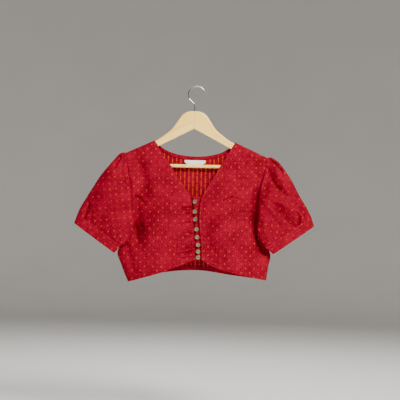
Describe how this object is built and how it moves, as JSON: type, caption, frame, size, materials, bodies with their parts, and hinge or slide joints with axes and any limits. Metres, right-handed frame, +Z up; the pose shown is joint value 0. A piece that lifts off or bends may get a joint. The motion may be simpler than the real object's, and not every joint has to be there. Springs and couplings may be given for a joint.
{
  "type": "choli blouse on a clothes hanger",
  "caption": "Cropped V-neck choli blouse with puffed short sleeves, cuff bands and a loop-and-button front, hung on a wooden clothes hanger with a rod and wire hook.",
  "frame": {"origin": "inside top of the hanger's hook, where it hangs from a rail", "axes": "+Z up; +X to the viewer's right as the front is seen, which is the wearer's left; -Y out of the front"},
  "size_m": [0.6576, 0.0766, 0.5421],
  "materials": {
    "cotton": "handloom crimson cotton with small woven orange motifs, wrong side striped by their floats",
    "label": "plain white woven tape",
    "coconut": "turned coconut shell, olive tan, half polished",
    "beech": "clear varnished pale wood",
    "steel": "polished bright plated wire"
  },
  "bodies": {
    "root": {"front_right": "cotton", "front_left": "cotton", "back": "cotton", "sleeve_right": "cotton", "sleeve_left": "cotton", "cuff_right": "cotton", "cuff_left": "cotton", "button_stand": "cotton", "neck_facing": "cotton", "hem_turn": "cotton", "loop_1": "cotton", "loop_2": "cotton", "loop_3": "cotton", "loop_4": "cotton", "loop_5": "cotton", "loop_6": "cotton", "loop_7": "cotton", "loop_8": "cotton", "button_1": "coconut", "button_2": "coconut", "button_3": "coconut", "button_4": "coconut", "button_5": "coconut", "button_6": "coconut", "button_7": "coconut", "button_8": "coconut", "neck_label": "label", "hanger_wood": "beech", "hanger_rod": "beech", "hanger_hook": "steel"}
  },
  "joints": []
}
